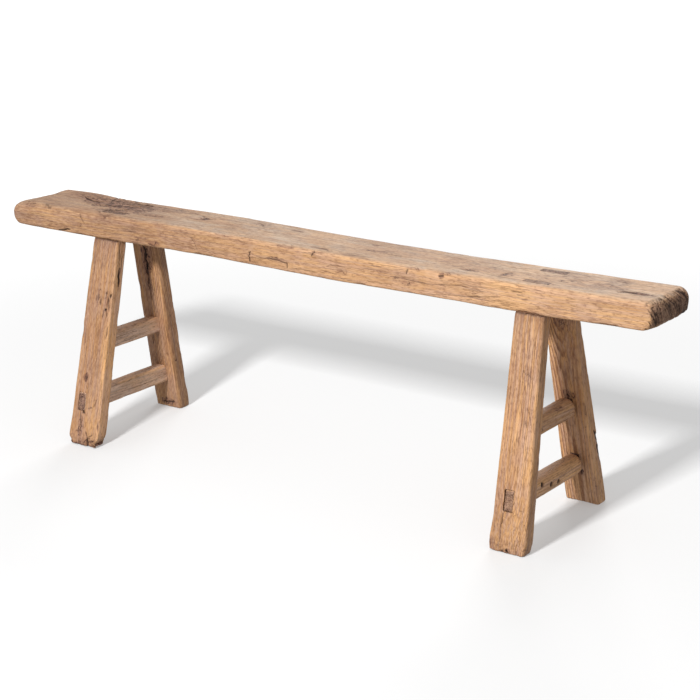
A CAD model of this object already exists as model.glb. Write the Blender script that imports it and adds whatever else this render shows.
import math

import bpy
import numpy as np
from mathutils import Matrix, Vector
from mathutils.kdtree import KDTree


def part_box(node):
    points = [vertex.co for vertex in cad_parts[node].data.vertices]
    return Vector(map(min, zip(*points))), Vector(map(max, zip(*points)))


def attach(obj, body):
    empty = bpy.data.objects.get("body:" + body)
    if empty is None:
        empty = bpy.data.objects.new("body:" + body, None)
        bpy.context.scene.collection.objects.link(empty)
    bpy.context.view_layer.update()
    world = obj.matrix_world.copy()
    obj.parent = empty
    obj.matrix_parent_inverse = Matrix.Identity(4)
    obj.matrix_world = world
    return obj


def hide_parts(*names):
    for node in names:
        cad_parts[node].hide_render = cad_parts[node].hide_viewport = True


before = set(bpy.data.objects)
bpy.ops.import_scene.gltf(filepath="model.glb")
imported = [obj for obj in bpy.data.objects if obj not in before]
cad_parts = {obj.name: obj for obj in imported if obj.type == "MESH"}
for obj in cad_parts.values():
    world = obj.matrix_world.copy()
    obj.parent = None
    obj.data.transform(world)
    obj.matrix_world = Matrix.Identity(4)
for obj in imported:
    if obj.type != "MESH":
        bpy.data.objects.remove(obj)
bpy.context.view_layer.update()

MM = 0.001

# An old elm bench, rebuilt piece by piece around the CAD frame. Every piece is a closed grid
# of rings along its own grain. Worn edges, cracks, holes and knots are moved into the mesh,
# and the same marks are stored on its points, where the wood materials read them.


# ---- repeatable noise ----
def lattice(ix, iy, iz, seed):
    """Pseudo-random values from -1 to 1 at whole-number points."""
    h = (ix * 374761393 + iy * 668265263 + iz * 1440662683 + seed * 974634777) & 0xFFFFFFFF
    h = ((h ^ (h >> 13)) * 1274126177) & 0xFFFFFFFF
    h = ((h ^ (h >> 15)) * 2246822519) & 0xFFFFFFFF
    return ((h ^ (h >> 16)) & 0xFFFF) / 32767.5 - 1.0


def noise(points, scale, seed=0):
    """Smooth noise from about -1 to 1 at points, with scale in cycles per metre on each axis."""
    scaled = np.asarray(points, float) * np.asarray(scale, float)
    cell = np.floor(scaled).astype(np.int64)
    f = scaled - cell
    f = f * f * f * (f * (f * 6 - 15) + 10)
    total = np.zeros(scaled.shape[:-1])
    for corner in np.ndindex(2, 2, 2):
        weight = np.prod(np.where(corner, f, 1 - f), axis=-1)
        total += weight * lattice(*np.moveaxis(cell + corner, -1, 0), seed)
    return total


def layered(points, scale, seed, layers=3):
    """Noise summed over layers, each twice as fine and half as strong as the one before."""
    strengths = 0.5 ** np.arange(layers)
    parts = [
        strength * noise(points, np.asarray(scale, float) * 2**layer, seed + layer)
        for layer, strength in enumerate(strengths)
    ]
    return sum(parts) / strengths.sum()


def smooth(value, low, high):
    """A soft step from 0 at low to 1 at high."""
    t = np.clip((value - low) / (high - low), 0, 1)
    return t * t * (3 - 2 * t)


def bell(value, place, reach):
    """A bell-shaped bump, 1 at a place and close to 0 at twice its reach."""
    return np.exp(-(((value - place) / reach) ** 2))


# ---- reading the CAD frame ----
def section(node, axis, place):
    """Lowest and highest corner of a CAD node's section, cut square to an axis at a place."""
    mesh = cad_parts[node].data
    corners = np.array([v.co for v in mesh.vertices], float)
    ends = np.array([e.vertices[:] for e in mesh.edges])
    start, end = corners[ends[:, 0]], corners[ends[:, 1]]
    before, after = place - start[:, axis], place - end[:, axis]
    crossing = before * after < 0
    share = (before / np.where(crossing, before - after, 1))[crossing, None]
    points = start[crossing] + share * (end - start)[crossing]
    return points.min(0), points.max(0)


seat_low, seat_high = (np.array(corner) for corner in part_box("seat_plank"))
UNDERSIDE, TOP = seat_low[2], seat_high[2]
SAG = 4.3 * MM                     # how far the seat hangs at mid-length
LIFT = 3.6 * MM                    # how far it bows up again left of the middle
LIFT_PLACE, LIFT_REACH = -0.27, 0.23
RISE = 1.8 * MM                    # how far the right end bends up
RISE_START, RISE_END = 0.52, 0.78
GAP = 0.5 * MM                     # play round a joint
HOLE_DEPTH = 3 * MM                # how deep worm and peg holes show


def sag(x):
    """How far the seat hangs below its two ends at x."""
    hang = SAG * (1 - (x / seat_high[0]) ** 2)
    return hang - LIFT * bell(x, LIFT_PLACE, LIFT_REACH) - RISE * smooth(x, RISE_START, RISE_END)


# ---- grids of rings ----
CORNERS = ((-1, -1), (1, -1), (1, 1), (-1, 1))
ROUNDEST = 0.92                    # largest corner radius, as a share of a section's half size
CLOSED = 0.97                      # how far a cap closes in on the middle of its end
SHARP_ANGLE = math.radians(62)     # edges sharper than this stay crisp


def spread(low, high, step, closer=()):
    """Places from low to high, step apart, and closer near each (place, reach, times)."""
    fine = np.linspace(low, high, 4000)
    density = np.full_like(fine, 1 / step)
    for place, reach, times in closer:
        density += (times - 1) / step * bell(fine, place, reach)
    share = np.concatenate([[0], np.cumsum((density[1:] + density[:-1]) / 2 * np.diff(fine))])
    count = max(1, int(round(share[-1])))
    return np.interp(np.linspace(0, share[-1], count + 1), share, fine)


def end_rows(place, inward, rim, depth, step):
    """Rows that close the end of a bar: (place, inset by the round rim, inset by the cap)."""
    caps = [(place, rim, inset) for inset in spread(0.0, depth, step)[:0:-1]]
    turns = np.linspace(0, math.pi / 2, max(3, int(rim * math.pi / 2 / step) + 1))
    rims = [(place + inward * rim * (1 - math.cos(t)), rim * (1 - math.sin(t)), 0) for t in turns]
    return caps + rims


def plain_rows(places):
    """Rows along a bar with no inset."""
    return [(place, 0, 0) for place in places]


def rounded_rings(half_p, half_q, radii, counts, corner_steps):
    """(p, q) of rounded rectangles, a row each, anticlockwise from the corner (-p, -q)."""
    hp, hq = half_p[:, None], half_q[:, None]
    p_parts, q_parts = [], []
    for side in range(4):
        (p0, q0), (p1, q1) = CORNERS[side], CORNERS[(side + 1) % 4]
        r0, r1 = radii[:, side, None], radii[:, (side + 1) % 4, None]
        t = np.linspace(0, 1, counts[side % 2])[None, :]
        if side % 2 == 0:
            p_parts.append(p0 * (hp - r0) * (1 - t) + p1 * (hp - r1) * t)
            q_parts.append(q0 * hq + 0 * t)
        else:
            p_parts.append(p0 * hp + 0 * t)
            q_parts.append(q0 * (hq - r0) * (1 - t) + q1 * (hq - r1) * t)
        turn = math.pi / 2 * (side - 1 + np.arange(1, corner_steps)[None, :] / corner_steps)
        p_parts.append(p1 * (hp - r1) + r1 * np.cos(turn))
        q_parts.append(q1 * (hq - r1) + r1 * np.sin(turn))
    return np.concatenate(p_parts, 1), np.concatenate(q_parts, 1)


def grid_normals(points):
    """Outward normals of a grid of rings."""
    around = np.roll(points, -1, 1) - np.roll(points, 1, 1)
    along = np.gradient(points, axis=0)
    normal = np.cross(around, along)
    return normal / np.maximum(np.linalg.norm(normal, axis=2, keepdims=True), 1e-15)


def cap_faces(offset, columns, fold, outward):
    """Faces that zip a flattened ring shut; point j lies opposite point fold - j."""
    faces = []
    start = -(-fold // 2)
    for j in range(start, start + columns // 2):
        ring = [j, j + 1, fold - j - 1, fold - j]
        corners = list(dict.fromkeys(offset + k % columns for k in ring))
        if len(corners) > 2:
            faces.append(corners if outward else corners[::-1])
    return faces


def grid_object(name, points, side_count):
    """A closed mesh from rings of points, zipped shut at both ends."""
    rows, columns = points.shape[:2]
    row, column = np.meshgrid(np.arange(rows - 1), np.arange(columns), indexing="ij")
    beside = (column + 1) % columns
    corners = (
        row * columns + column,
        row * columns + beside,
        (row + 1) * columns + beside,
        (row + 1) * columns + column,
    )
    faces = np.stack(corners, axis=-1).reshape(-1, 4).tolist()
    fold = columns // 2 + side_count - 1
    faces += cap_faces(0, columns, fold, False)
    faces += cap_faces((rows - 1) * columns, columns, fold, True)
    mesh = bpy.data.meshes.new(name)
    mesh.from_pydata(points.reshape(-1, 3).tolist(), [], faces)
    piece = bpy.data.objects.new(name, mesh)
    bpy.context.collection.objects.link(piece)
    return piece


def store(mesh, name, values):
    """Keeps a vector on each point of a mesh for its material."""
    attribute = mesh.attributes.get(name) or mesh.attributes.new(name, "FLOAT_VECTOR", "POINT")
    attribute.data.foreach_set("vector", np.asarray(values, np.float32).reshape(-1))


def stored(mesh, name):
    """The vectors kept on a mesh's points."""
    values = np.zeros(len(mesh.vertices) * 3, np.float32)
    mesh.attributes[name].data.foreach_get("vector", values)
    return values.reshape(-1, 3)


# ---- marks of age ----
def segment_marks(u, v, segments, seed):
    """Depth in metres and shade of cracks; each is (u0, v0, u1, v1, width, depth), in mm."""
    depth, shade = np.zeros_like(u), np.zeros_like(u)
    for index, (*ends, width, deep) in enumerate(segments):
        u0, v0, u1, v1 = (place * MM for place in ends)
        length = math.hypot(u1 - u0, v1 - v0)
        du, dv = (u1 - u0) / length, (v1 - v0) / length
        share = ((u - u0) * du + (v - v0) * dv) / length
        beside = (v - v0) * du - (u - u0) * dv
        spot = np.stack([share * length, 0 * share + 0.37 * index, 0 * share], -1)
        beside = beside + (0.3 + 0.6 * width) * MM * noise(spot, (70, 1, 1), seed)
        beside = beside + (0.1 + 0.3 * width) * MM * noise(spot, (240, 1, 1), seed)
        past = np.maximum(np.abs(share - 0.5) - 0.5, 0) * length
        taper = smooth(share, -0.1, 0.25) * smooth(1 - share, -0.1, 0.25)
        reach = width * MM * (0.4 + 0.6 * taper) * (1 + 0.4 * noise(spot, (130, 1, 1), seed + 1))
        body = np.clip(1.25 - np.hypot(beside, past) / reach, 0, 1)
        depth = np.maximum(depth, body * deep * MM * (0.3 + 0.7 * taper))
        shade = np.maximum(shade, np.clip(1.5 * body, 0, 1) * min(1, 0.10 + 0.40 * deep))
    return depth, shade


def spots(u, v, places, seed):
    """Soft ragged ellipses; each place is (u, v, half length, half width, strength), in mm."""
    total = np.zeros_like(u)
    ragged = 0.3 * noise(np.stack([u, v, 0 * u], -1), (160, 260, 1), seed)
    for place_u, place_v, half_u, half_v, strength in places:
        distance = np.hypot((u / MM - place_u) / half_u, (v / MM - place_v) / half_v)
        total = np.maximum(total, strength * smooth(1.3 - distance + ragged, 0, 0.7))
    return total


def bend_round_knots(grain, u, v, across, knots):
    """Makes the grain part and flow round each knot (u, v, half width, strength), in mm."""
    for knot_u, knot_v, half, strength in knots:
        away_u, away_v = u - knot_u * MM, v - knot_v * MM
        distance = np.hypot(away_u / (3.2 * half * MM), away_v / (half * MM))
        grain[..., across] -= strength * away_v * bell(distance, 0, 1)


class Skin:
    """A piece's grid while it ages: points, normals, grain coordinates and marks."""

    def __init__(self, points, axis, grain):
        self.points, self.grain = points, grain
        self.normals = grid_normals(points)
        self.end = smooth(np.abs(self.normals[..., axis]), 0.55, 0.9)
        side = np.delete(np.abs(self.normals), axis, axis=2)
        self.edge = np.clip(2.2 * side[..., 0] * side[..., 1], 0, 1)
        self.sink, self.crack, self.stain = (np.zeros(points.shape[:2]) for _ in range(3))
        self.grey, self.polish, self.tone = (np.zeros(points.shape[:2]) for _ in range(3))
        self.hold = np.ones(points.shape[:2])

    def facing(self, direction, low=0.45, high=0.75):
        """1 where the surface faces a direction, and 0 where it doesn't."""
        return smooth(self.normals @ np.array(direction, float), low, high)

    def mark(self, name, values):
        """Raises the crack, stain or polish to at least these values."""
        setattr(self, name, np.maximum(getattr(self, name), values))

    def weather(self, wave, ridge, chip, swell, seed):
        """Wear in millimetres: waves, fine ridges along the grain, chipped edges, less a swelling."""
        waves = layered(self.grain, (5, 18, 18), seed, 2)
        waves += 0.35 * noise(self.grain, (30, 75, 75), seed + 5)
        ridges = noise(self.grain, (16, 330, 330), seed + 7)
        ridges += 0.6 * noise(self.grain, (30, 700, 700), seed + 8)
        chips = self.edge * smooth(layered(self.grain, (26, 60, 60), seed + 9, 3), 0.12, 0.6)
        self.sink += (wave * waves + ridge * ridges * (1 - self.end) + chip * chips - swell) * MM
        self.mark("polish", self.edge * (1 - chips))
        self.mark("stain", 0.35 * chips * (chip > 0.8))

    def checks(self, amount, seed):
        """Hair cracks along the grain; amount from 0 to 1 says how much of the surface has them."""
        line = np.abs(noise(self.grain, (4, 95, 95), seed))
        gate = smooth(noise(self.grain, (6, 24, 24), seed + 1), 0.55 - amount, 0.8 - amount)
        thin = np.clip(1.2 - line / 0.095, 0, 1) * gate * (1 - self.end)
        self.sink += 0.5 * MM * thin
        self.mark("crack", 0.45 * thin)

    def cut(self, mask, u, v, segments, seed):
        """Hand-placed cracks on the face that mask picks."""
        depth, shade = segment_marks(u, v, segments, seed)
        self.sink += depth * mask
        self.mark("crack", shade * mask)

    def blot(self, mask, u, v, places, seed):
        """Hand-placed stains on the face that mask picks."""
        self.mark("stain", mask * spots(u, v, places, seed))

    def bore(self, mask, du, dv, radius):
        """A small round hole where both distances from its centre are small."""
        inside = mask * smooth(-np.hypot(du, dv), -1.3 * radius, -0.7 * radius)
        self.sink += HOLE_DEPTH * inside
        self.mark("crack", inside)

    def end_grain(self, depth, seed):
        """Splits that run out of the end grain, in millimetres."""
        rays = np.abs(layered(self.grain, (4, 170, 60), seed, 2))
        lines = np.clip(1 - rays / 0.16, 0, 1) * self.end
        self.sink += depth * MM * lines
        self.mark("crack", 0.55 * lines)

    def build(self, name, side_count):
        """The aged piece."""
        moved = self.points - self.normals * (self.sink * self.hold)[..., None]
        piece = grid_object(name, moved, side_count)
        store(piece.data, "grain", self.grain)
        store(piece.data, "marks", np.stack([self.crack, self.stain, self.end], -1))
        store(piece.data, "skin", np.stack([self.grey, self.polish * self.hold, self.tone], -1))
        return piece


def carve(piece, cutters):
    """Cuts real mortises into a piece and gives their walls the grain beside them."""
    for cutter in cutters:
        modifier = piece.modifiers.new("mortise", "BOOLEAN")
        modifier.operation = "DIFFERENCE"
        modifier.solver = "MANIFOLD"
        modifier.object = cutter
    seen = piece.evaluated_get(bpy.context.evaluated_depsgraph_get())
    carved = bpy.data.meshes.new_from_object(seen)
    piece.modifiers.clear()
    piece.data = carved
    for cutter in cutters:
        bpy.data.objects.remove(cutter)
    grain = stored(carved, "grain")
    fresh = np.abs(grain).sum(1) < 1e-9
    tree = KDTree(len(carved.vertices))
    places = np.zeros(len(carved.vertices) * 3, np.float32)
    carved.vertices.foreach_get("co", places)
    places = places.reshape(-1, 3)
    for index in np.flatnonzero(~fresh):
        tree.insert(places[index], index)
    tree.balance()
    nearest = {index: tree.find(places[index])[1] for index in np.flatnonzero(fresh)}
    for name in ("grain", "marks", "skin"):
        values = stored(carved, name)
        for index, source in nearest.items():
            values[index] = values[source]
        if name == "marks":
            values[list(nearest), 0] = np.maximum(values[list(nearest), 0], 0.55)
        store(carved, name, values)


# ---- seat ----
NOSE = 20 * MM                     # radius of the rounded ends, seen from the side
PLAN_CORNER = 5 * MM               # radius of the corners, seen from above
SEAT_SIDES = (58, 36)              # points across the seat and up its front
CROSS_CRACKS = (-580, -301, -268, -126, -31, 32, 256, 332, 500)   # x in mm, where rows are closer
LEFT_END = (                       # plan of the left end: (y, how far it has worn back)
    (-68, 3), (-58, -4), (-30, -3), (-18, 2), (-9, 12), (2, 24), (14, 30), (36, 31), (60, 31), (68, 36),
)
RIGHT_END = ((-68, 11), (-56, 6), (-36, 2), (0, 0), (40, -3), (58, -5), (68, 1))

FRONT_CRACKS = (                   # (x, z) to (x, z) on the front, in mm, then width and depth
    (-649, 449, -613, 455, 1.7, 2.4), (-110, 467, -70, 464, 1.0, 1.2),
    (-82, 469, -30, 464, 1.3, 1.6), (-22, 456, 42, 457, 0.9, 1.0),
    (5, 492, 65, 500, 1.0, 1.0), (163, 458, 210, 457, 0.9, 0.9),
    (239, 475, 309, 471, 1.1, 0.9), (300, 471, 414, 482, 1.0, 0.8),
    (288, 449, 418, 463, 0.9, 1.0), (374, 456, 458, 469, 0.9, 1.0),
    (489, 483, 507, 485, 1.6, 1.3), (498, 478, 512, 479, 1.3, 1.0),
    (-125, 475, -127, 463, 1.7, 2.6), (-127, 463, -124, 452, 1.5, 2.2),
    (-32, 465, -31, 454, 1.3, 1.6), (28, 486, 36, 500, 1.6, 2.4),
    (256, 495, 255, 484, 2.2, 1.8), (327, 490, 338, 494, 2.6, 1.8), (-571, 474, -586, 493, 1.0, 1.2),
    (-261, 459, -270, 474, 0.9, 1.0), (-270, 474, -279, 484, 0.9, 1.0),
    (-700, 462, -660, 466, 0.8, 0.8), (-480, 470, -425, 473, 0.8, 0.8),
    (560, 462, 640, 467, 0.7, 0.7), (-360, 478, -318, 479, 0.7, 0.7),
)
FRONT_SPOTS = (                    # (x, z), half length, half height in mm, strength
    (-515, 494, 5, 3, 0.6), (-379, 455, 16, 7, 0.75), (104, 466, 14, 6, 0.3),
    (332, 492, 7, 5, 0.75), (253, 467, 14, 6, 0.5), (514, 471, 5, 3, 0.4),
    (641, 479, 9, 5, 0.25), (664, 484, 8, 5, 0.25), (-640, 458, 26, 8, 0.25),
    (-590, 470, 14, 6, 0.35), (-410, 458, 20, 7, 0.35), (-60, 468, 26, 6, 0.35),
    (240, 474, 20, 6, 0.35), (200, 480, 18, 5, 0.25), (-230, 470, 10, 5, 0.2),
)
FRONT_KNOTS = (                    # (x, z), half width in mm, strength
    (-379, 455, 8, 0.8), (332, 492, 9, 0.8), (253, 467, 9, 0.7), (104, 466, 8, 0.6), (652, 479, 10, 0.7),
)
TOP_CRACKS = (                     # (x, y) to (x, y) on the top, in mm, then width and depth
    (-650, 30, -622, 19, 3.3, 2.0), (-628, 20, -600, 16, 3.1, 1.8),
    (-606, 15, -578, 33, 3.1, 2.0), (-580, 32, -586, 66, 2.8, 1.7),
    (-592, -19, -560, 2, 2.3, 1.5), (-560, 2, -505, 18, 2.8, 1.8),
    (-505, 18, -478, 50, 2.5, 1.5), (-524, -26, -500, -4, 2.5, 1.7),
    (-538, -35, -494, -5, 2.3, 1.5), (-546, -56, -485, -32, 2.3, 1.5),
    (-459, -27, -386, -22, 2.5, 1.0), (-183, 47, -152, 25, 2.9, 0.8),
    (-131, -3, -112, -4, 2.5, 0.8), (-92, 36, -62, 34, 2.8, 0.8),
    (20, -45, 69, -51, 3.1, 1.0), (111, -59, 161, -51, 2.0, 0.7),
    (131, -12, 174, 1, 2.8, 0.8), (185, -17, 204, -8, 2.3, 0.8),
    (330, -24, 353, -16, 2.5, 0.8), (356, -37, 394, -30, 3.1, 1.0),
    (442, -41, 456, -7, 3.3, 0.9), (-301, 11, -310, -5, 3.1, 1.1),
    (-301, 11, -280, 19, 3.1, 1.1), (-301, 11, -319, 29, 2.5, 1.0),
    (-689, -58, -670, -62, 2.8, 1.2), (684, -31, 702, -18, 3.4, 2.2),
    (700, -21, 720, -21, 3.4, 1.6), (716, -25, 744, -26, 1.2, 2.8), (738, -21, 768, -12, 1.2, 0.9),
    (-420, 30, -340, 36, 2.2, 0.7), (250, 40, 330, 34, 2.0, 0.7),
    (-260, -30, -190, -26, 1.7, 0.6), (420, 25, 470, 30, 2.0, 0.7),
)
TOP_SPOTS = (                      # (x, y), half length, half width in mm, strength
    (-301, 11, 9, 8, 1.0), (119, 30, 8, 6, 0.9), (-610, 22, 40, 12, 0.65),
    (-560, 30, 60, 22, 0.55), (-500, 22, 46, 26, 0.65), (-520, -30, 34, 14, 0.6),
    (-650, 42, 60, 24, 0.3), (-440, 30, 60, 24, 0.35), (-425, -20, 50, 8, 0.3),
    (35, -46, 24, 5, 0.35), (150, -8, 34, 8, 0.4), (372, -33, 24, 7, 0.4),
    (720, -20, 44, 9, 0.35), (724, -21, 26, 6, 0.95), (640, -20, 40, 12, 0.25), (655, 43, 26, 12, 0.35),
    (-170, 38, 30, 12, 0.3), (-75, 35, 24, 8, 0.25), (452, -25, 12, 24, 0.35),
    (-250, 30, 40, 8, 0.22), (60, 40, 50, 8, 0.2), (210, 44, 40, 8, 0.25), (560, 46, 50, 8, 0.28),
    (600, -36, 40, 8, 0.25),
)
GNARLS = (                         # where the top is wrinkled, in the same order as the spots
    (-560, 22, 78, 36, 1.0), (-640, 34, 40, 16, 0.55), (-480, 6, 40, 34, 0.7), (-520, -34, 50, 16, 0.6),
    (-425, -18, 60, 12, 0.4), (-400, 40, 60, 14, 0.4), (655, 6, 44, 34, 0.42), (560, 0, 66, 42, 0.42),
    (150, 14, 100, 26, 0.2), (-150, 14, 90, 26, 0.2), (350, 0, 90, 36, 0.26),
)
TOP_KNOTS = (                      # (x, y), half width in mm, strength
    (-301, 11, 12, 0.9), (-505, 15, 26, 0.9), (-600, 20, 16, 0.8), (119, 30, 10, 0.7), (448, -24, 14, 0.7),
)


def worn_back(table, y):
    """How far an end of the seat has worn back at y, from a table in millimetres."""
    places, depths = zip(*table)
    return np.interp(y / MM, places, depths) * MM


def seat_grid():
    """The seat's rings before ageing, with heights measured from mid-thickness."""
    width, thickness = (seat_high - seat_low)[1:]
    fine_spots = [(x * MM, 7 * MM, 2.2) for x in CROSS_CRACKS]
    fine_spots += [(-545 * MM, 80 * MM, 1.8), (720 * MM, 30 * MM, 1.7)]
    inner = (thickness / 2 - NOSE) * CLOSED
    rows = end_rows(seat_low[0], 1, NOSE, inner, 1.2 * MM)
    rows += plain_rows(spread(seat_low[0] + NOSE, seat_high[0] - NOSE, 5.2 * MM, fine_spots)[1:-1])
    rows += end_rows(seat_high[0], -1, NOSE, inner, 1.2 * MM)[::-1]
    x, rim, cap = np.array(rows).T
    inward = np.clip(PLAN_CORNER - np.minimum(x - seat_low[0], seat_high[0] - x), 0, PLAN_CORNER)
    plan = PLAN_CORNER - np.sqrt(PLAN_CORNER**2 - inward**2)
    half_y = width / 2 - plan - cap
    half_z = thickness / 2 - rim - cap
    uneven = 2 * noise(np.stack([x, x, x], -1), (5, 0, 0), 3)
    soft_front = (9 + 13 * smooth(-x, 0.35, 0.74) + uneven) * MM
    radii = np.stack([4.5 * MM + 0 * x, 5 * MM + 0 * x, 6 * MM + 0 * x, soft_front], -1)
    limit = ROUNDEST * np.minimum(half_y, half_z)[:, None]
    y, z = rounded_rings(half_y, half_z, np.minimum(radii, limit), SEAT_SIDES, 6)
    return np.stack([np.broadcast_to(x[:, None], y.shape), y, z], -1)


def sagging_seat():
    """The seat's rings, worn back at both ends and sagging, and their heights without the sag."""
    grid = seat_grid()
    x, y = grid[..., 0].copy(), grid[..., 1]
    level = grid[..., 2] + (TOP + UNDERSIDE) / 2
    left = worn_back(LEFT_END, y) * smooth(seat_low[0] - x, -0.12, -0.004)
    right = worn_back(RIGHT_END, y) * smooth(x - seat_high[0], -0.12, -0.004)
    grid[..., 0] = x + left - right
    upper = smooth(level, UNDERSIDE + 20 * MM, TOP)
    swell = 3 * MM * bell(grid[..., 0], -0.66, 0.07) * smooth(y, 0.0, 0.05) * upper
    droop = 9 * MM * smooth(-grid[..., 0], 0.715, 0.79) * smooth(-y, -0.020, 0.020) * upper
    grid[..., 2] = level - sag(grid[..., 0]) - droop + swell
    return grid, level


def make_seat():
    """The thick plank, sagging, worn round at both ends and split at the left one."""
    grid, z = sagging_seat()
    x, y = grid[..., 0], grid[..., 1]
    grain = np.stack([x + 1.7, y, grid[..., 2] - UNDERSIDE], -1)
    bend_round_knots(grain, x, y, 1, TOP_KNOTS)
    bend_round_knots(grain, x, z, 2, FRONT_KNOTS)
    skin = Skin(grid, 0, grain)
    top, front = skin.facing((0, 0, 1)), skin.facing((0, -1, 0), 0.35, 0.7)
    skin.weather(0.9, 0.16, 1.8, 0.6, 11)
    skin.checks(0.04, 23)
    skin.cut(front, x, z, FRONT_CRACKS, 31)
    skin.cut(top, x, y, TOP_CRACKS, 37)
    skin.blot(front, x, z, FRONT_SPOTS, 41)
    skin.blot(top, x, y, TOP_SPOTS, 43)
    gnarled_top(skin, top * spots(x, y, GNARLS, 47))
    weathered_end(skin, x, y, z)
    seat_tones(skin, x, top, front)
    return skin.build("seat", SEAT_SIDES[0])


def gnarled_top(skin, amount):
    """Wrinkled burr wood, stained and cracked in its folds."""
    warped = skin.grain + 0.012 * noise(skin.grain, (30, 30, 30), 5)[..., None]
    swirl = np.abs(layered(warped, (34, 110, 110), 51, 3))
    skin.sink += amount * (0.3 + 3.6 * swirl + 1.2 * (1 - np.clip(swirl / 0.12, 0, 1))) * MM
    fold = smooth(-swirl, -0.16, -0.01)
    skin.mark("stain", amount * (0.46 + 0.54 * fold))
    skin.mark("crack", amount * smooth(fold, 0.4, 1.0) * 0.7)


def seat_tones(skin, x, top, front):
    """The bleached top, the polished front and the darker left part of the seat."""
    wear = 0.8 + 0.95 * layered(skin.grain, (7, 34, 34), 61, 3)
    skin.grey = np.clip(skin.facing((0, 0, 1), 0.52, 1.0) * wear, 0, 1)
    skin.grey *= 1 - 0.45 * smooth(-x, 0.35, 0.6)
    skin.polish = skin.polish * front * (0.7 - 0.5 * smooth(-x, 0.30, 0.65))
    skin.tone += 0.80 * smooth(-x, 0.05, 0.60) + 0.2 * smooth(-x, 0.70, 0.76)
    skin.tone += 0.12 * smooth(x, 0.50, 0.65) - 0.22 * smooth(x, 0.05, 0.35)
    skin.tone += top * (0.3 * smooth(x, 0.0, 0.2) - 0.42 * smooth(x, 0.35, 0.55))


def weathered_end(skin, x, y, z):
    """Deep furrows where the end grain comes out, above all at the right end."""
    faces_out = np.abs(skin.normals[..., 0])
    right = smooth(x, 0.735, 0.760) * smooth(faces_out, 0.10, 0.45)
    left = smooth(-x, 0.700, 0.745) * smooth(faces_out, 0.25, 0.7) * 0.35
    lean = y + 0.45 * (z - TOP) + 0.005 * noise(skin.points, (0, 22, 30), 70)
    strands = np.stack([lean, z, x], -1)
    ridge = np.abs(noise(strands, (115, 10, 12), 71))
    fine = np.abs(noise(strands, (310, 30, 30), 72))
    furrow = np.maximum(np.clip(1 - ridge / 0.20, 0, 1), 0.75 * np.clip(1 - fine / 0.22, 0, 1))
    skin.sink += (right + left) * furrow * 3.0 * MM
    skin.mark("crack", (right + 0.3 * left) * smooth(furrow, 0.1, 0.7) * 0.92)
    skin.tone += 0.9 * right * smooth(y, -0.07, 0.07)


# ---- legs ----
FOOT_RIM = 2.5 * MM                # radius round the edge of a foot
LEG_SIDES = (44, 22)               # points across a leg's broad and narrow faces
LEG_CRACKS = {                     # (x from the centre line, z) to (x, z) on the outer face, mm
    "front_left": (
        (-15, 74, -8, 38, 1.4, 1.0), (-9, 73, -3, 73, 3.0, 5.0),
        (13, 20, 15, 0, 2.6, 6.0), (8, 34, 13, 20, 1.4, 1.6),
        (14, 22, 26, 30, 1.2, 1.4), (-24, 30, -6, 34, 1.0, 1.0), (18, 12, 32, 16, 1.2, 1.2),
        (6, 83, 21, 88, 1.3, 1.2), (21, 88, 29, 108, 1.3, 1.2), (-10, 152, -10, 147, 3.0, 1.6),
        (22, 340, 19, 322, 1.3, 1.2), (7, 322, 8, 308, 1.6, 1.4), (27, 328, 31, 300, 1.3, 1.2),
        (35, 318, 36, 306, 1.0, 1.0), (0, 331, 1, 318, 1.6, 1.4), (-6, 328, -5, 316, 1.2, 1.2),
        (18, 296, 16, 282, 1.2, 1.2), (28, 296, 27, 284, 1.2, 1.2), (34, 268, 33, 240, 1.2, 1.2),
        (8, 446, 31, 448, 1.8, 2.0), (-18, 230, -20, 170, 0.8, 0.7),
        (-2, 430, 0, 360, 0.8, 0.7), (12, 220, 16, 160, 0.8, 0.7),
    ),
    "front_right": (
        (-15, 74, -17, 44, 1.3, 1.5), (-17, 44, -18, 14, 1.3, 1.2), (-2, 9, 1, 0, 2.4, 4.0),
        (-14, 6, -8, 0, 1.6, 2.0), (19, 85, 27, 84, 1.1, 1.0), (27, 84, 28, 93, 1.1, 1.0),
        (0, 342, 8, 333, 1.4, 1.0), (10, 338, 19, 328, 1.4, 1.0), (14, 322, 17, 312, 1.1, 0.9),
        (17, 274, 22, 262, 1.2, 1.0), (22, 262, 27, 244, 1.2, 1.0), (14, 250, 18, 239, 1.2, 1.0),
        (10, 446, 29, 448, 1.8, 2.0), (-8, 210, -10, 150, 0.8, 0.6),
        (-20, 400, -18, 340, 0.8, 0.6), (6, 180, 8, 120, 0.8, 0.6),
    ),
    "back_left": ((-10, 420, 6, 330, 1.0, 0.9), (12, 300, 10, 180, 1.0, 0.9)),
    "back_right": ((8, 420, -6, 330, 1.0, 0.9), (-12, 260, -10, 150, 1.0, 0.9)),
}
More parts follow.
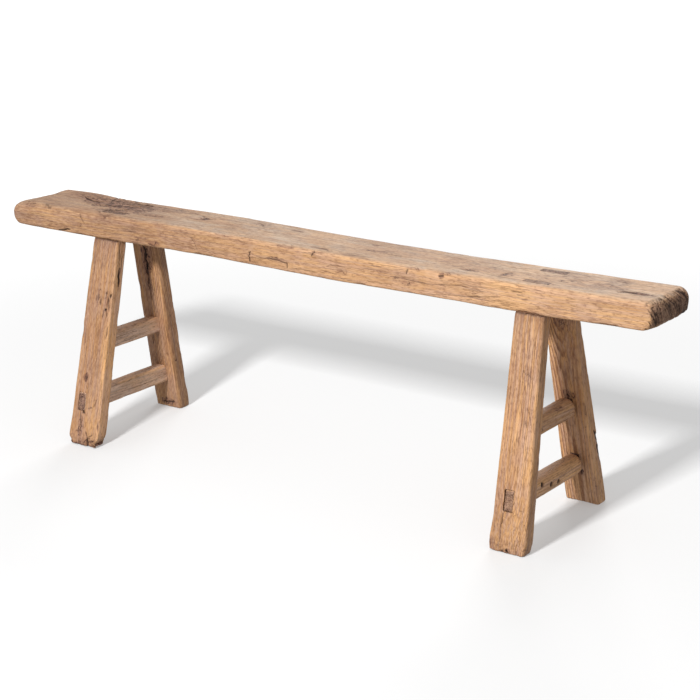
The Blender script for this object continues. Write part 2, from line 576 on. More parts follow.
INNER_CRACKS = {                   # the same on the face towards the other leg of the pair
    "back_left": (
        (1, 404, 5, 388, 1.9, 3.0), (5, 388, 1, 374, 2.3, 4.0), (1, 374, 6, 360, 2.0, 4.0),
        (6, 362, -1, 345, 2.5, 5.0), (-1, 346, 2, 330, 1.9, 4.0), (2, 330, -3, 312, 1.6, 3.0),
        (-3, 312, -1, 296, 1.2, 2.2), (-1, 296, 2, 272, 1.1, 1.4), (5, 388, 12, 380, 1.3, 1.4),
        (1, 374, -7, 362, 1.3, 1.4), (6, 360, 13, 346, 1.2, 1.2), (-1, 345, -8, 336, 1.2, 1.2),
        (8, 402, 10, 392, 1.3, 1.2), (-12, 184, -16, 158, 1.4, 1.5), (-12, 13, 4, 12, 1.7, 2.0),
        (2, 13, 22, 16, 1.7, 2.0), (20, 420, 22, 360, 0.9, 0.8), (-4, 14, -2, 26, 1.4, 1.4),
    ),
    "back_right": (
        (-4, 243, 3, 238, 2.2, 3.0), (-19, 226, -12, 205, 1.0, 1.0), (6, 74, 9, 66, 2.0, 2.4),
        (-6, 330, -9, 290, 0.8, 0.6), (10, 330, 13, 290, 0.8, 0.6),
    ),
    "front_left": ((-8, 400, -6, 320, 1.0, 0.9),),
    "front_right": ((6, 400, 3, 320, 1.0, 0.9),),
}
SIDE_CRACKS = {                    # (y from the centre line, z) on the face towards +X
    "front_left": ((-6, 440, -1, 385, 1.3, 1.0), (0, 386, 3, 346, 2.6, 3.0), (6, 410, 8, 380, 1.0, 0.8)),
    "back_right": ((6, 162, 10, 126, 4.2, 3.2), (9, 130, 12, 92, 4.6, 3.4)),
    "back_left": ((-2, 240, 0, 200, 0.9, 0.9), (-8, 126, -4, 122, 2.0, 1.6)),
    "front_right": ((2, 300, 3, 240, 0.8, 0.8),),
}
WORM_HOLES = {                     # (x, z) and radius on the outer face, in mm
    "front_left": ((34, 330, 4.2), (22, 299, 3.4), (20, 334, 1.7), (39, 311, 1.6), (2, 340, 1.6)),
    "back_left": ((9, 318, 2.2), (3, 290, 1.6)),
}
LEG_SPOTS = {                      # (x, z), half sizes in mm, strength, on the face in front
    "front_left": (
        (-10, 150, 6, 9, 0.9), (28, 318, 12, 24, 0.30), (-10, 40, 7, 26, 0.5), (16, 10, 26, 12, 0.3),
        (14, 240, 14, 30, 0.15), (2, 322, 9, 14, 0.25),
    ),
    "front_right": (
        (8, 336, 14, 14, 0.22), (22, 256, 10, 26, 0.24), (0, 4, 10, 8, 0.4), (-16, 40, 6, 26, 0.2),
    ),
    "back_left": ((2, 372, 14, 36, 0.6), (2, 14, 24, 9, 0.6), (-4, 120, 20, 26, 0.25), (0, 322, 9, 30, 0.3)),
    "back_right": ((2, 241, 14, 10, 0.6), (4, 410, 16, 36, 0.4), (8, 71, 7, 9, 0.7)),
}
SIDE_SPOTS = {                     # (y, z), half sizes in mm, strength, on the face towards +X
    "front_left": ((2, 400, 6, 44, 0.15), (4, 360, 5, 22, 0.6)),
    "back_left": ((4, 400, 14, 60, 0.25),),
    "back_right": ((12, 126, 5, 40, 0.7),),
}
SIDE_TONES = {"back_left": 0.65, "front_left": -0.9}      # how much darker the face towards +X is
TONE_HEIGHTS = (0.02, 0.22, 0.42)
LEG_TONES = {                      # how dark the wood is at those heights
    "front_left": (0.25, 0.30, 0.85), "front_right": (0.50, -0.42, 0.35),
    "back_left": (0.10, 0.06, 0.15), "back_right": (-0.30, -0.55, -0.05),
}
LEG_PITHS = {                      # the tree's pith, across the leg in metres
    "front_left": (0.15, -0.10), "front_right": (-0.008, -0.052),
    "back_left": (0.11, -0.07), "back_right": (0.004, -0.048),
}
LEG_ARCHES = {                     # where the growth rings rise in nested arches: (z, length, rise)
    "front_left": (0.02, 0.05, 0.006), "front_right": (-0.02, 0.09, 0.022),
    "back_left": (0.40, 0.06, 0.006), "back_right": (0.47, 0.11, -0.026),
}
FOOT_WEAR = {                      # how worn each foot is, from 0 to 1
    "front_left": 1.0, "front_right": 0.45, "back_left": 0.25, "back_right": 0.2,
}
FOOT_FLARE = {"front_right": 4.0, "front_left": 2.0}      # mm that a foot spreads towards -X


class LegShape:
    """Sections of a leg, read from its CAD node, between the ground and the seat's surfaces."""

    def __init__(self, name, seat):
        self.name = name
        self.row = -1 if name.startswith("front") else 1
        node = "leg_" + name
        self.shaft = [(z, *section(node, 2, z)) for z in (1 * MM, UNDERSIDE - 40 * MM)]
        self.tenon = [(z, *section(node, 2, z)) for z in (UNDERSIDE + 1 * MM, TOP - 1 * MM)]
        low, high = self.tenon[1][1:]
        self.shoulder = surface_height(seat, low, high, 1) + 0.4 * MM
        self.top = surface_height(seat, low, high, -1) - 0.3 * MM

    def shaft_at(self, z):
        """Centre x, centre y, half width and half thickness of the shaft at heights z."""
        return between(self.shaft, z)

    def tenon_at(self, z):
        """The same for the tenon."""
        return between(self.tenon, z)


def between(sections, z):
    """Centre x, centre y and half sizes at heights z, in line with two sections."""
    (z0, low0, high0), (z1, low1, high1) = sections
    share = ((np.asarray(z) - z0) / (z1 - z0))[:, None]
    low, high = low0 + (low1 - low0) * share, high0 + (high1 - high0) * share
    centre, half = (low + high) / 2, (high - low) / 2
    return centre[:, 0], centre[:, 1], half[:, 0], half[:, 1]


def surface_height(seat, low, high, upward):
    """Mean height of the seat's underside (upward 1) or top (upward -1) over a rectangle."""
    start = UNDERSIDE - 0.1 if upward > 0 else TOP + 0.1
    heights = []
    for share_x in (0.1, 0.5, 0.9):
        for share_y in (0.1, 0.5, 0.9):
            x = low[0] + (high[0] - low[0]) * share_x
            y = low[1] + (high[1] - low[1]) * share_y
            heights.append(seat.ray_cast((x, y, start), (0, 0, upward))[1].z)
    return sum(heights) / len(heights)


def leg_tube(shape, rows, is_tenon, radius, counts, corner_steps, grow=0.0):
    """Level rings of a leg's shaft or tenon, and their places across the grain."""
    z, rim, cap = np.array(rows).T
    parts = zip(shape.shaft_at(z), shape.tenon_at(z))
    cx, cy, hx, hy = (np.where(is_tenon, tenon, shaft) for shaft, tenon in parts)
    hx, hy = hx - rim - cap + grow, hy - rim - cap + grow
    limit = ROUNDEST * np.minimum(hx, hy)[:, None]
    radii = np.minimum(np.where(is_tenon[:, None], 0.8 * MM, radius), limit)
    p, q = rounded_rings(hx, hy, radii, counts, corner_steps)
    z = np.broadcast_to(z[:, None], p.shape)
    return np.stack([cx[:, None] + p, cy[:, None] + q, z], -1), p, q


def leg_rows(shape):
    """Rows of a leg's shaft, closed at the foot, and of its tenon, closed at the head."""
    foot_half = shape.shaft_at([0.0])[3][0]
    shaft = end_rows(0.0, 1, FOOT_RIM, (foot_half - FOOT_RIM) * CLOSED, 1.5 * MM)
    fine_spots = [(0.0, 0.05, 1.7), (0.33, 0.03, 1.3)]
    shaft += plain_rows(spread(FOOT_RIM, shape.shoulder, 3.0 * MM, fine_spots)[1:])
    tenon = plain_rows(spread(shape.shoulder, shape.top - 1 * MM, 4 * MM)[:-1])
    tenon += end_rows(shape.top, -1, 1 * MM, 7 * MM, 1.2 * MM)[::-1]
    return shaft, tenon


def make_leg(name, index, seat):
    """A leg from its chipped foot to the end of its tenon in the seat's top."""
    shape = LegShape(name, seat)
    shaft, tenon = leg_rows(shape)
    is_tenon = np.arange(len(shaft + tenon)) >= len(shaft)
    edges = np.random.default_rng(index).uniform(4.5, 7.5, 4) * MM
    radius = np.broadcast_to(edges, (len(is_tenon), 4))
    points, p, q = leg_tube(shape, shaft + tenon, is_tenon, radius, LEG_SIDES, 5)
    z = points[..., 2]
    arch_z, arch_length, arch_rise = LEG_ARCHES[name]
    rise = arch_rise * bell(z, arch_z, arch_length)
    grain = np.stack([z + 3.1 * (index + 1), p, q + rise], -1)
    bend_round_knots(grain, z, p, 1, [(270 + 70 * index, 10, 10, 0.5)])
    skin = Skin(points, 2, grain)
    near_seat = 0.6 + 0.4 * smooth(shape.shoulder - z, -0.001, 0.012)
    skin.hold = np.where(is_tenon[:, None], 0.15, near_seat)
    age_leg(skin, shape, index, p, q)
    if name == "front_right":
        bleach_head(skin, is_tenon[:, None], p, q)
    skin.end_grain(0.8, 181 + index)
    return skin.build("leg_" + name, LEG_SIDES[0]), shape


def age_leg(skin, shape, index, p, q):
    """Wear, cracks, stains and worm holes, and how dark the wood is."""
    name, z = shape.name, skin.points[..., 2]
    outer, inner = (skin.facing((0, sign * shape.row, 0)) for sign in (1, -1))
    side = skin.facing((1, 0, 0))
    skin.weather(0.7, 0.14, 1.5, 0.8, 100 + 10 * index)
    skin.checks(0.12, 105 + 10 * index)
    skin.cut(outer, p, z, LEG_CRACKS[name], 131 + index)
    skin.cut(inner, p, z, INNER_CRACKS[name], 141 + index)
    skin.cut(side, q, z, SIDE_CRACKS[name], 151 + index)
    skin.blot(side, q, z, SIDE_SPOTS.get(name, ()), 163)
    skin.blot(outer if shape.row < 0 else inner, p, z, LEG_SPOTS[name], 161)
    for hole_p, hole_z, radius in WORM_HOLES.get(name, ()):
        skin.bore(outer, p - hole_p * MM, z - hole_z * MM, radius * MM)
    skin.tone = np.interp(z, TONE_HEIGHTS, LEG_TONES[name])
    skin.tone += SIDE_TONES.get(name, 0) * side + 0.7 * smooth(z - shape.shoulder, -0.016, 0.0)
    flare = FOOT_FLARE.get(name, 0) * MM
    skin.sink -= flare * skin.facing((-1, 0, 0)) * smooth(-z, -0.07, -0.01)
    worn_foot(skin, z, 171 + index, FOOT_WEAR[name])


def bleach_head(skin, is_tenon, p, q):
    """The pale head of one tenon in the seat's top, with a small hole beside its wedge."""
    head = is_tenon * skin.end
    skin.grey = 1.0 * head
    skin.end = skin.end * (1 - 0.6 * is_tenon)
    skin.bore(head, p - 27 * MM, q + 6 * MM, 4 * MM)


def worn_foot(skin, z, seed, amount):
    """The rounded, wrinkled and chipped foot, darker close to the ground."""
    low = smooth(-z, -0.042, -0.004)
    corner = smooth(-z, -0.026, 0.0) ** 2 * np.clip(np.abs(skin.normals[..., 0]) + 0.25, 0, 1)
    lumps = layered(skin.grain, (150, 90, 90), seed, 3)
    skin.sink += amount * (amount * 15.0 * corner + low * (0.3 + 4.0 * np.abs(lumps))) * MM
    wrinkle = smooth(-np.abs(lumps), -0.13, -0.01) * low
    skin.sink += amount * 0.8 * MM * wrinkle
    skin.mark("stain", amount * 0.85 * wrinkle)
    split = np.abs(noise(skin.grain, (16, 130, 130), seed + 4))
    thin = np.clip(1 - split / 0.07, 0, 1) * low
    skin.sink += amount * 1.2 * MM * thin
    skin.mark("crack", amount * 0.6 * thin)
    dirt = smooth(-z, -0.012, 0.0) * (0.6 + 0.4 * lumps)
    skin.mark("stain", np.clip(dirt * amount, 0, 1))


# ---- stretchers ----
BAR_SIDES = (24, 16)               # points up a stretcher's side and across its top
BAR_HOLES = {"lower_right": ((-56, 104), (-20, 93), (9, 89))}     # (y, z) in mm
BAR_HOLE_RADIUS = 5.2 * MM
BAR_TONES = {                      # how dark each stretcher is
    "upper_left": -1.0, "lower_left": -1.12, "upper_right": 0.15, "lower_right": -0.7,
}
BAR_CRACKS = {                     # (y, z) to (y, z) on the face towards +X, in mm
    "upper_left": ((-60, 222, 20, 219, 0.8, 0.8), (-30, 210, 60, 207, 0.8, 0.8)),
    "lower_left": ((-90, 98, 0, 95, 0.8, 0.8), (-10, 88, 90, 85, 0.8, 0.8)),
    "upper_right": (
        (-78, 232, -52, 214, 2.2, 1.8), (-88, 206, -50, 211, 1.2, 1.4), (0, 204, 40, 202, 0.8, 0.8),
    ),
    "lower_right": ((-60, 88, 30, 84, 0.8, 0.7), (20, 100, 90, 98, 0.8, 0.7)),
}
BAR_RIM = 0.8 * MM                 # radius round the end of a stretcher's tenon
SUNK = 0.7 * MM                    # how far a stretcher's shoulders sink into its legs


class BarShape:
    """A stretcher's sections and ends, read from its CAD node and its two legs."""

    def __init__(self, name):
        self.name = name
        self.is_turned = name.endswith("right")
        node = "stretcher_" + name
        legs = ["leg_" + row + name[name.index("_"):] for row in ("front", "back")]
        low, high = (np.array(corner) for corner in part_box(node))
        reach = 30 * MM
        front, middle, back = (section(node, 1, y) for y in (-reach, 0.0, reach))
        self.half = (middle[1] - middle[0]) / 2
        self.centre = (middle[1] + middle[0]) / 2
        self.slope = (sum(back) - sum(front))[2] / (4 * reach)
        self.tenon_x, self.tenon_half_x = middle_and_half(section(node, 1, low[1] + 5 * MM), 0)
        self.tenon_half_z = middle_and_half(section(node, 1, low[1] + 12 * MM), 2)[1]
        self.faces = [leg_faces(leg, self.centre[2]) for leg in legs]
        self.shoulders = (-self.faces[0][0] - SUNK, self.faces[1][0] + SUNK)
        above, below = (leg_faces(legs[0], self.centre[2] + dz)[0] for dz in (reach, -reach))
        self.splay = (below - above) / (2 * reach)
        self.is_through = -low[1] > self.faces[0][0] + 25 * MM
        self.ends = (low[1], high[1])
        if self.is_through:
            self.ends = (-self.faces[0][1], self.faces[1][1])


def middle_and_half(corners, axis):
    """Middle and half of a section's extent on one axis."""
    low, high = corners[0][axis], corners[1][axis]
    return (low + high) / 2, (high - low) / 2


def leg_faces(leg, z):
    """Distances of a leg's inner and outer faces from the centre plane at height z."""
    low, high = section(leg, 2, z)
    return sorted((abs(low[1]), abs(high[1])))


def bar_tube(shape, rows, is_tenon, radius, counts, corner_steps, grow=0.0):
    """Rings across a stretcher, tilted more and more towards its ends to meet the legs."""
    y, rim, cap = np.array(rows).T
    hz = np.where(is_tenon, shape.tenon_half_z, shape.half[2]) - rim - cap + grow
    hx = np.where(is_tenon, shape.tenon_half_x, shape.half[0]) - rim - cap + grow
    limit = np.minimum(hx, hz)[:, None]
    wide = np.where(is_tenon[:, None], 1.2 * MM, radius)
    p, q = rounded_rings(hz, hx, np.minimum(wide, 0.97 * limit), counts, corner_steps)
    x = np.where(is_tenon, shape.tenon_x, shape.centre[0])[:, None] + q
    tilt = shape.splay * np.clip(y / shape.faces[0][0], -1, 1)
    z = shape.centre[2] + shape.slope * y[:, None] + p
    return np.stack([x, y[:, None] - tilt[:, None] * p, z], -1), p, q


def rounded_off(distance, radius, most):
    """How far a rounded end draws in at a distance from its tip."""
    past = max(radius - distance, 0.0)
    return min(radius - math.sqrt(max(radius**2 - past**2, 0.0)), most)


def bar_rows(shape):
    """Rows of a stretcher's front tenon, body and back tenon, closed at both ends."""
    (start, end), (front_face, back_face) = shape.ends, shape.shoulders
    cap = (shape.tenon_half_x - BAR_RIM) * CLOSED
    front = end_rows(start, 1, BAR_RIM, cap, 1.2 * MM)
    front += plain_rows(spread(start + BAR_RIM, front_face, 3 * MM)[1:])
    body = plain_rows(spread(front_face, back_face, 1.8 * MM))
    if shape.is_turned:
        body = [(y, rounded_off(back_face - y, 17 * MM, 8 * MM), 0.0) for y, _, _ in body]
    back = plain_rows(spread(back_face, end - BAR_RIM, 3 * MM)[:-1])
    back += end_rows(end, -1, BAR_RIM, cap, 1.2 * MM)[::-1]
    return front, body, back


def bar_radius(shape, y, index):
    """Radii of a stretcher's four long edges; a turned one is nearly round."""
    if not shape.is_turned:
        return np.broadcast_to(np.array([4.0, 5.0, 5.5, 4.5]) * MM, (len(y), 4))
    soft = 0.93 + 0.06 * noise(np.stack([y, 0 * y, 0 * y], -1), (16, 1, 1), index)
    return min(shape.half[0], shape.half[2]) * soft[:, None] * np.array([0.95, 1.0, 0.93, 0.97])


def make_stretcher(name, index):
    """A stretcher between the two legs of its pair, with a tenon at each end."""
    shape = BarShape(name)
    front, body, back = bar_rows(shape)
    rows = front + body + back
    is_tenon = np.ones(len(rows), bool)
    is_tenon[len(front):len(front + body)] = False
    radius = bar_radius(shape, np.array(rows)[:, 0], index)
    points, p, q = bar_tube(shape, rows, is_tenon, radius, BAR_SIDES, 9)
    y, z = points[..., 1], points[..., 2]
    skin = Skin(points, 1, np.stack([y + 17.3 + 2.3 * index, p, q], -1))
    skin.hold = np.where(is_tenon, 0.2, 1.0)[:, None]
    skin.weather(0.8 if shape.is_turned else 0.6, 0.16, 1.0, 0.0, 200 + 10 * index)
    skin.checks(0.18, 205 + 10 * index)
    side = skin.facing((1, 0, 0), 0.3, 0.6)
    skin.cut(side, y, z, BAR_CRACKS[name], 231 + index)
    for hole_y, hole_z in BAR_HOLES.get(name, ()):
        skin.bore(side, y - hole_y * MM, z - hole_z * MM, BAR_HOLE_RADIUS)
    skin.end_grain(0.5, 241 + index)
    if shape.is_turned:
        skin.mark("stain", 0.8 * smooth(y - shape.shoulders[1], -12 * MM, -1 * MM))
    skin.grey += 0.1 if shape.is_turned else 0.75
    skin.tone += BAR_TONES[name] * (1 - skin.end)
    skin.mark("stain", skin.end * (0.45 if name == "lower_left" else 0.12))
    return skin.build("stretcher_" + name, BAR_SIDES[0]), shape


# ---- wedges ----
def wedge_tube(name, top, grow=0.0, rise=0.0):
    """Rings of a wedge, thin at its tip and thick at the seat's top."""
    low, high = (np.array(corner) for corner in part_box("wedge_" + name))
    tip, head = (section("wedge_" + name, 2, z) for z in (low[2] + 1 * MM, high[2] - 1 * MM))
    sections = [(low[2] + 1 * MM, *tip), (high[2] - 1 * MM, *head)]
    rim = 0.3 * MM
    rows = end_rows(low[2], 1, rim, 0.1 * MM, 0.3 * MM)
    rows += plain_rows(spread(low[2] + rim, top + rise - rim, 2 * MM)[1:-1])
    rows += end_rows(top + rise, -1, rim, 1.4 * MM, 0.5 * MM)[::-1]
    z, inset, cap = np.array(rows).T
    cx, cy, hx, hy = between(sections, z)
    hx, hy = np.maximum(hx - inset - cap + grow, 0.05 * MM), hy - inset - cap + grow
    radii = np.broadcast_to(np.minimum(0.3 * MM, 0.9 * hx)[:, None], (len(z), 4))
    p, q = rounded_rings(hx, hy, radii, (5, 17), 2)
    z = np.broadcast_to(z[:, None], p.shape)
    return np.stack([cx[:, None] + p, cy[:, None] + q, z], -1), p, q


def make_wedge(name, index, top):
    """The wedge in the end of a leg's tenon, flush with the seat."""
    points, p, q = wedge_tube(name, top, rise=0.2 * MM)
    skin = Skin(points, 2, np.stack([points[..., 2] + 29.0 + index, p, q], -1))
    skin.weather(0.15, 0.05, 0.2, 0.0, 300 + index)
    skin.end_grain(0.2, 310 + index)
    skin.mark("crack", 0.25 * skin.end)
    return skin.build("wedge_" + name, 5)


# ---- joints ----
JOINT_PLAY = {                     # (shift in x, play) of the visible mortises, in mm
    ("front_right", "lower_right"): (-0.9, 1.1),
    ("front_left", "lower_left"): (-0.2, 0.7),
}


def hole(tube, shape, low, high, cap, counts, corner_steps, play):
    """Rings of a hole along a tenon, as wide as the tenon and a little play."""
    rows = [(low, 0, cap)] + plain_rows(spread(low, high, 4 * MM)) + [(high, 0, cap)]
    square = np.zeros((len(rows), 4))
    return tube(shape, rows, np.ones(len(rows), bool), square, counts, corner_steps, play)[0]


def head_cutter(shape):
    """The hole through the seat for a leg's tenon."""
    past = 8 * MM
    points = hole(leg_tube, shape, shape.shoulder - past, shape.top + past, past, (16, 6), 2, GAP)
    wobble = layered(points, (40, 60, 30), 7, 2)[..., None] * 0.35 * MM
    return grid_object("cutter", points + wobble * grid_normals(points), 16)


def bar_cutter(shape, leg_name):
    """The hole in a leg for a stretcher's tenon."""
    shift, play = JOINT_PLAY.get((leg_name, shape.name), (0.0, 0.4))
    end = 0 if leg_name.startswith("front") else 1
    outward = -1 if end == 0 else 1
    past = (10 if shape.is_through else 1) * MM
    inner = outward * (shape.faces[end][0] - 12 * MM)
    outer = shape.ends[end] + outward * past
    low, high = sorted((inner, outer))
    points = hole(bar_tube, shape, low, high, shape.tenon_half_x * 0.95, (12, 6), 3, play * MM)
    points[..., 0] += shift * MM
    return grid_object("cutter", points, 12)


def wedge_cutter(name, top):
    """The slot for the wedge in the end of a leg's tenon."""
    return grid_object("cutter", wedge_tube(name, top, 0.15 * MM, 6 * MM)[0], 5)


# ---- materials ----
WHITE = (1.0, 1.0, 1.0, 1.0)


class Graph:
    """Builds the nodes of a material, world or light; most calls return their result's socket."""

    def __init__(self, owner):
        owner.use_nodes = True
        self.tree = owner.node_tree
        self.tree.nodes.clear()

    def node(self, kind, inputs, **settings):
        """One node, with its inputs by name or number, each a value or another's socket."""
        new = self.tree.nodes.new("ShaderNode" + kind)
        for key, value in settings.items():
            setattr(new, key, value)
        for key, value in inputs.items():
            if isinstance(value, bpy.types.NodeSocket):
                self.tree.links.new(value, new.inputs[key])
            else:
                new.inputs[key].default_value = value
        return new

    def math(self, operation, a, b=0.0, clamp=False):
        return self.node("Math", {0: a, 1: b}, operation=operation, use_clamp=clamp).outputs[0]

    def times(self, a, b):
        return self.math("MULTIPLY", a, b)

    def vector(self, operation, a, b):
        return self.node("VectorMath", {0: a, 1: b}, operation=operation).outputs[0]

    def noise(self, scale, detail=2.0, roughness=0.5, distortion=0.0, result="Fac", along=None):
        """Noise from 0 to 1 along the grain, in cycles per metre on each axis."""
        scaled = self.vector("MULTIPLY", along or self.grain, scale)
        inputs = {"Vector": scaled, "Scale": 1.0, "Detail": detail}
        inputs.update({"Roughness": roughness, "Distortion": distortion})
        return self.node("TexNoise", inputs).outputs[result]

    def crest(self, value, width, strength=1.0):
        """Thin lines where noise passes its middle value."""
        away = self.math("ABSOLUTE", self.math("SUBTRACT", value, 0.5))
        return self.step(away, 0.0, width, strength, 0.0)

    def step(self, value, low, high, start=0.0, end=1.0):
        """A soft step from start at low to end at high."""
        inputs = {"Value": value, "From Min": low, "From Max": high, "To Min": start, "To Max": end}
        return self.node("MapRange", inputs, interpolation_type="SMOOTHSTEP").outputs[0]

    def mix(self, factor, a, b, blend="MIX"):
        node = self.node("Mix", {0: factor, 6: a, 7: b}, data_type="RGBA", blend_type=blend)
        return node.outputs[2]

    def lay(self, paint, mask, strength=1.0):
        """Lays a paint over the colour so far, as strongly as a mask says."""
        self.base = self.mix(self.times(mask, strength), self.base, paint)

    def parts(self, vector):
        return self.node("SeparateXYZ", {0: vector}).outputs

    def stored(self, name):
        """Vectors kept on the mesh's points."""
        return self.node("Attribute", {}, attribute_name=name).outputs["Vector"]


def colour(red, green, blue):
    """A colour from its 0-255 display values."""
    def linear(v):
        v = v / 255
        return v / 12.92 if v <= 0.04045 else ((v + 0.055) / 1.055) ** 2.4
    return (linear(red), linear(green), linear(blue), 1.0)


LIGHT, MID = colour(210, 160, 108), colour(186, 138, 96)
SEAT_LIGHT, SEAT_MID = colour(210, 164, 117), colour(187, 143, 103)
PINK, DARK = colour(190, 154, 134), colour(122, 80, 54)
BLEACHED, ASHEN, WEATHER_BROWN = colour(199, 178, 158), colour(216, 190, 176), (0.27, 0.19, 0.15, 1.0)
END_PALE, END_DARK = colour(142, 110, 92), colour(84, 58, 46)
STAIN_PALE, STAIN_DARK = colour(142, 97, 80), colour(76, 45, 40)
PORE, FLECK, HAIR = colour(114, 74, 52), colour(236, 204, 162), colour(92, 56, 38)
WRINKLE, CRACK = colour(58, 31, 30), colour(40, 20, 13)
TONE_PARTS = (0.28, 0.30, 0.29)    # how much of red, green and blue a tone of 1 takes away


class Wood(Graph):
    """Weathered elm: growth rings, fibres, pores, hair cracks, stains, bleached and worn parts."""

    def __init__(self, name, pith, ring_gap, ring_strength, striped=0.58, grey=BLEACHED, tones=(LIGHT, MID)):
        self.material = bpy.data.materials.new(name)
        super().__init__(self.material)
        self.grain = self.stored("grain")
        self.crack, self.stain, self.end = self.parts(self.stored("marks"))
        self.grey, self.polish, self.tone = self.parts(self.stored("skin"))
        self.rings(pith, ring_gap)
        self.fine_lines()
        self.sound_wood(*tones, striped, ring_strength)
        self.weathered(grey, tones[0])
        self.dirt()
        self.finish()

    def rings(self, pith, gap):
        """Growth rings round the tree's pith, bent and uneven along the grain."""
        warp = self.noise((1.6, 9, 9), result="Color")
        warp = self.vector("SUBTRACT", warp, (0.5, 0.5, 0.5))
        warp = self.vector("MULTIPLY", warp, (0.0, 0.016, 0.016))
        self.bent = self.vector("ADD", self.grain, warp)
        away = self.vector("SUBTRACT", self.bent, (0.0, *pith))
        away = self.vector("MULTIPLY", away, (0.0, 1.0, 1.0))
        radius = self.node("VectorMath", {0: away}, operation="LENGTH").outputs["Value"]
        jitter = self.times(self.noise((7, 110, 110)), 0.9)
        phase = self.math("FRACT", self.math("ADD", self.math("DIVIDE", radius, gap), jitter))
        ring = self.times(self.step(phase, 0.25, 0.85), self.step(phase, 0.90, 1.0, 1.0, 0.0))
        uneven = self.step(self.noise((2.5, 30, 30), 1.0), 0.3, 0.7, 0.35, 1.0)
        self.ring = self.times(ring, uneven)

    def fine_lines(self):
        """Fibres, streaks, pores, pale flecks, hair cracks and wrinkles."""
        self.fibre = self.noise((24, 640, 640), 2.0, 0.6)
        self.streak = self.noise((9, 210, 210), 3.0, 0.6)
        self.patch = self.noise((10, 40, 40), 3.0, 0.55, 0.5)
        self.blush = self.noise((14, 26, 26), 2.0, 0.6, 0.4)
        dashes = self.noise((95, 360, 360), 2.0, 0.6)
        self.pores = self.step(dashes, 0.53, 0.66)
        self.flecks = self.step(dashes, 0.34, 0.47, 1.0, 0.0)
        gate = self.step(self.noise((11, 34, 34), 1.0), 0.44, 0.56)
        self.hair = self.times(self.crest(self.noise((6, 125, 125)), 0.014), gate)
        swirl = self.crest(self.noise((28, 95, 95), 2.0, 0.6, 1.2), 0.045, 0.92)
        self.wrinkle = self.times(swirl, self.step(self.stain, 0.12, 0.45))

    def sound_wood(self, light, mid, striped, ring_strength):
        """The colours of the wood itself."""
        stripe = self.noise((4.5, 230, 230), 2.0, 0.6, along=self.bent)
        broad = self.noise((2.2, 7, 7), 1.0)
        self.base = self.mix(self.step(self.patch, 0.36, 0.64), light, mid)
        self.base = self.mix(self.step(stripe, 0.45, 0.60, 0.0, striped), self.base, PINK)
        self.base = self.mix(self.step(self.blush, 0.45, 0.65, 0.0, 0.35), self.base, PINK)
        self.lay(DARK, self.step(broad, 0.42, 0.70), 0.22)
        self.lay(DARK, self.ring, ring_strength)
        self.lay(DARK, self.step(self.streak, 0.50, 0.78), 0.28)

    def weathered(self, grey, light):
        """Bleached, polished and end-grain parts, and the tone of the piece."""
        pale = self.mix(self.step(self.streak, 0.38, 0.62, 0.0, 0.62), grey, WEATHER_BROWN)
        pale = self.mix(self.step(self.blush, 0.42, 0.62, 0.0, 0.4), pale, light)
        self.lay(pale, self.grey, self.step(self.patch, 0.30, 0.65, 0.90, 0.60))
        self.lay(light, self.polish, 0.38)
        self.lay(self.mix(self.step(self.streak, 0.4, 0.65), END_PALE, END_DARK), self.end, 0.75)
        shade = self.step(self.fibre, 0.25, 0.75, 0.82, 1.14)
        shade = [self.math("SUBTRACT", shade, self.times(self.tone, part)) for part in TONE_PARTS]
        shaded = self.node("CombineXYZ", dict(enumerate(shade))).outputs[0]
        self.base = self.mix(1.0, self.base, shaded, "MULTIPLY")

    def dirt(self):
        """Pores, flecks, stains, hair cracks, wrinkles and open cracks."""
        self.lay(PORE, self.pores, 0.38)
        self.lay(FLECK, self.flecks, 0.12)
        self.lay(self.mix(self.streak, STAIN_PALE, STAIN_DARK), self.stain, 0.75)
        self.lay(HAIR, self.hair, 0.55)
        self.lay(WRINKLE, self.wrinkle)
        self.lay(CRACK, self.crack)

    def finish(self):
        """Roughness, relief and the shader."""
        rough = self.step(self.fibre, 0.3, 0.7, 0.58, 0.72)
        rough = self.math("ADD", rough, self.times(self.grey, 0.08))
        rough = self.math("SUBTRACT", rough, self.times(self.polish, 0.10), clamp=True)
        height = self.times(self.fibre, 0.45)
        raised = ((self.ring, 0.25), (self.streak, 0.6))
        sunken = ((self.pores, -0.6), (self.hair, -0.9), (self.wrinkle, -1.0))
        for part, amount in raised + sunken:
            height = self.math("ADD", height, self.times(part, amount))
        inputs = {"Height": height, "Strength": 0.65, "Distance": 1.0 * MM}
        inputs = {"Base Color": self.base, "Roughness": rough, "Normal": self.node("Bump", inputs).outputs[0]}
        shader = self.node("BsdfPrincipled", inputs)
        shader.inputs["Specular IOR Level"].default_value = 0.32
        self.node("OutputMaterial", {"Surface": shader.outputs[0]})


# ---- the bench ----
LEG_NAMES = ("front_left", "back_left", "front_right", "back_right")
BAR_NAMES = ("upper_left", "lower_left", "upper_right", "lower_right")
FRONT_RINGS, BACK_RINGS = (2.6 * MM, 0.42), (3.8 * MM, 0.85)      # gap and strength


def finish_piece(piece, node, wood):
    """Gives a piece its material, body and slot, in place of its CAD node."""
    mesh = piece.data
    mesh.materials.clear()
    mesh.materials.append(wood.material)
    mesh.polygons.foreach_set("material_index", [0] * len(mesh.polygons))
    mesh.polygons.foreach_set("use_smooth", [True] * len(mesh.polygons))
    mesh.set_sharp_from_angle(angle=SHARP_ANGLE)
    mesh.update()
    piece.name = node + "_wood"
    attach(piece, "root")
    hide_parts(node)


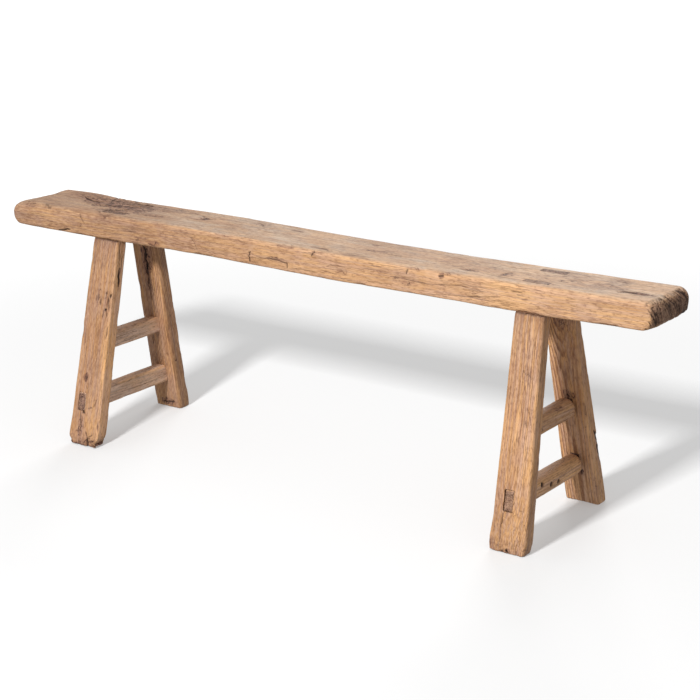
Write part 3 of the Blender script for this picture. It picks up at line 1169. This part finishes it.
def make_bench():
    """Every piece of the bench, with its joints cut."""
    seat = make_seat()
    bpy.context.view_layer.update()
    bars = {name: make_stretcher(name, index) for index, name in enumerate(BAR_NAMES)}
    legs = {name: make_leg(name, index, seat) for index, name in enumerate(LEG_NAMES)}
    for index, (name, (leg, shape)) in enumerate(legs.items()):
        side = name[name.index("_"):]
        joined = [bars[level + side][1] for level in ("upper", "lower")]
        carve(leg, [bar_cutter(bar, name) for bar in joined] + [wedge_cutter(name, shape.top)])
        wedge, node = make_wedge(name, index, shape.top), "wedge_" + name
        finish_piece(wedge, node, Wood(node, (0, 0.03), 2.0 * MM, 0.3))
        ring_gap, ring_strength = FRONT_RINGS if shape.row < 0 else BACK_RINGS
        wood = Wood("leg_" + name, LEG_PITHS[name], ring_gap, ring_strength)
        finish_piece(leg, "leg_" + name, wood)
    carve(seat, [head_cutter(shape) for _, shape in legs.values()])
    wood = Wood("seat_elm", (0.02, -0.14), 3.0 * MM, 0.28, 0.45, tones=(SEAT_LIGHT, SEAT_MID))
    finish_piece(seat, "seat_plank", wood)
    for name, (bar, _) in bars.items():
        wood = Wood("stretcher_" + name, (0.03, -0.05), 3.0 * MM, 0.5, grey=ASHEN)
        finish_piece(bar, "stretcher_" + name, wood)


make_bench()


# ---- studio ----
def make_floor():
    """A plain white floor that glows a little, more so far from the bench."""
    material = bpy.data.materials.new("studio_floor")
    g = Graph(material)
    place = g.node("NewGeometry", {}).outputs["Position"]
    away = g.node("VectorMath", {0: place}, operation="LENGTH").outputs["Value"]
    glow = g.step(away, 0.9, 5.0, 0.26, 1.0)
    paper = g.node("BsdfDiffuse", {"Color": (0.55, 0.55, 0.55, 1.0)}).outputs[0]
    shine = g.node("Emission", {"Color": WHITE, "Strength": glow}).outputs[0]
    both = g.node("AddShader", {0: paper, 1: shine}).outputs[0]
    g.node("OutputMaterial", {"Surface": both})
    bpy.ops.mesh.primitive_plane_add(size=80)
    floor = bpy.context.object
    floor.name = "floor"
    floor.data.materials.append(material)
    floor.visible_diffuse = False
    floor.visible_glossy = False


def make_world(light, backdrop):
    """Even soft light from all round, in front of a white backdrop."""
    world = bpy.data.worlds.new("studio")
    bpy.context.scene.world = world
    g = Graph(world)
    soft = g.node("Background", {"Color": WHITE, "Strength": light}).outputs[0]
    white = g.node("Background", {"Color": WHITE, "Strength": backdrop}).outputs[0]
    seen = g.node("LightPath", {}).outputs["Is Camera Ray"]
    both = g.node("MixShader", {0: seen, 1: soft, 2: white}).outputs[0]
    g.node("OutputWorld", {"Surface": both})


def make_light(name, place, target, size, power):
    """A square soft box aimed at a target, as bright on near things as on far ones."""
    light = bpy.data.lights.new(name, "AREA")
    light.size = size
    light.energy = power
    g = Graph(light)
    even = g.node("LightFalloff", {"Strength": 1.0}).outputs["Constant"]
    glow = g.node("Emission", {"Color": WHITE, "Strength": even}).outputs[0]
    g.node("OutputLight", {"Surface": glow})
    lamp = bpy.data.objects.new(name, light)
    lamp.location = place
    lamp.rotation_euler = (Vector(target) - Vector(place)).to_track_quat("-Z", "Y").to_euler()
    bpy.context.collection.objects.link(lamp)


def make_camera():
    """The photograph's view: from the right and a little above."""
    azimuth, elevation, roll = (math.radians(angle) for angle in (34.26, 17.84, -0.62))
    target, distance = Vector((0.0736, 0.0, 0.277)), 3.923
    level = math.cos(elevation)
    back = Vector((math.sin(azimuth) * level, -math.cos(azimuth) * level, math.sin(elevation)))
    right = Vector((0, 0, 1)).cross(back).normalized()
    up = back.cross(right)
    across = right * math.cos(roll) + up * math.sin(roll)
    upward = up * math.cos(roll) - right * math.sin(roll)
    turn = Matrix((across, upward, back)).transposed().to_4x4()
    camera = bpy.data.objects.new("camera", bpy.data.cameras.new("camera"))
    camera.data.sensor_width = 36
    camera.data.lens = 98.9
    camera.matrix_world = Matrix.Translation(target + back * distance) @ turn
    bpy.context.collection.objects.link(camera)
    bpy.context.scene.camera = camera


make_floor()
make_world(0.47, 1.0)
make_light("key", (0.14, -2.9, 2.36), (0, 0, 0.1), 0.40, 11.2)
make_light("rim", (-1.6, 4.6, 2.6), (0, 0, 0.3), 2.4, 3.6)
make_camera()
bpy.context.scene.view_settings.view_transform = "Standard"
